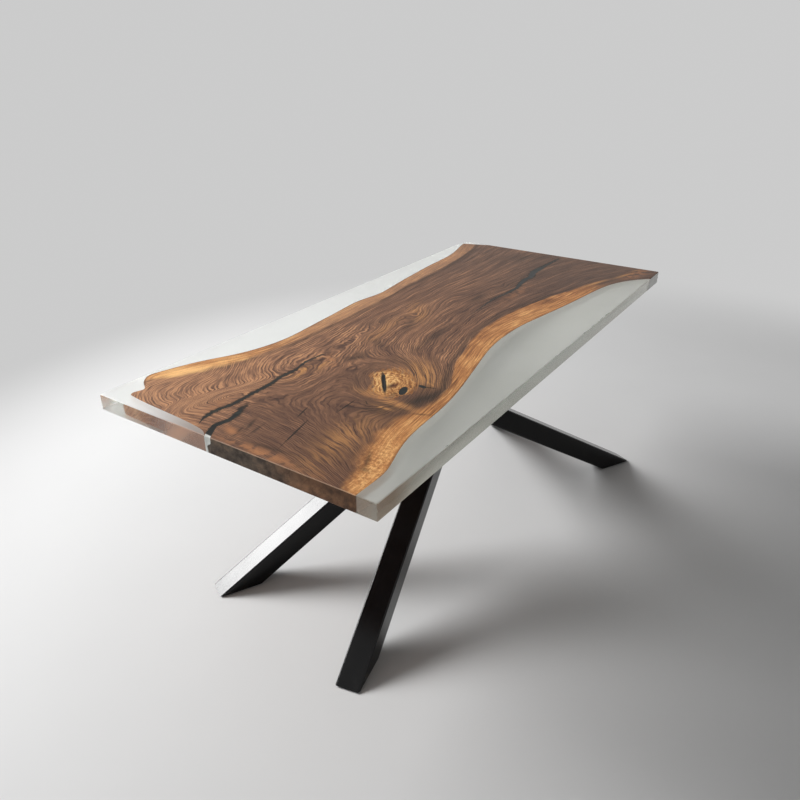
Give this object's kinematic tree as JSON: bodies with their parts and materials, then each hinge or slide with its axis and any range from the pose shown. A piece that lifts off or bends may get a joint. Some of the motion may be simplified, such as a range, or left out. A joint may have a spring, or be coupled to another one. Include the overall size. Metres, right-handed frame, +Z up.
{
  "type": "dining table",
  "caption": "Rectangular dining table with a live edge walnut slab cast between clear resin panels, on a crossed base of black square steel tube with thin foot pads.",
  "frame": {"origin": "on the floor, midway along the top and midway across the whole footprint of top and feet", "axes": "+X along the top towards its far end, +Y to its left side, +Z up"},
  "size_m": [1.8, 0.8569, 0.74],
  "materials": {
    "walnut": "satin oiled walnut",
    "clear_resin": "satin clear epoxy, slightly milky",
    "crack_resin": "dark filled epoxy, satin",
    "black_steel": "black powder coat, semi gloss",
    "dark_fasteners": "dark zinc",
    "brass_inserts": "turned brass",
    "pad_rubber": "matt rubber"
  },
  "bodies": {
    "root": {"walnut_slab": "walnut", "resin_left": "clear_resin", "resin_right": "clear_resin", "short_crack_fill": "clear_resin", "long_crack_fill": "crack_resin", "far_crack_fill": "crack_resin", "knot_crack_fill": "crack_resin", "hairline_fills": "crack_resin", "knot_hole_fill": "crack_resin", "knot_spot_fill": "crack_resin", "leg_front_left": "black_steel", "arm_front_left": "black_steel", "top_plate_front_left": "black_steel", "foot_cap_front_left": "black_steel", "foot_pad_front_left": "pad_rubber", "leg_front_right": "black_steel", "arm_front_right": "black_steel", "top_plate_front_right": "black_steel", "foot_cap_front_right": "black_steel", "foot_pad_front_right": "pad_rubber", "leg_back_left": "black_steel", "arm_back_left": "black_steel", "top_plate_back_left": "black_steel", "foot_cap_back_left": "black_steel", "foot_pad_back_left": "pad_rubber", "leg_back_right": "black_steel", "arm_back_right": "black_steel", "top_plate_back_right": "black_steel", "foot_cap_back_right": "black_steel", "foot_pad_back_right": "pad_rubber", "joint_plate_front": "black_steel", "joint_plate_back": "black_steel", "joint_bolts": "dark_fasteners", "joint_washers": "dark_fasteners", "joint_nuts": "dark_fasteners", "top_screws": "dark_fasteners", "top_washers": "dark_fasteners", "threaded_inserts": "brass_inserts"}
  },
  "joints": []
}
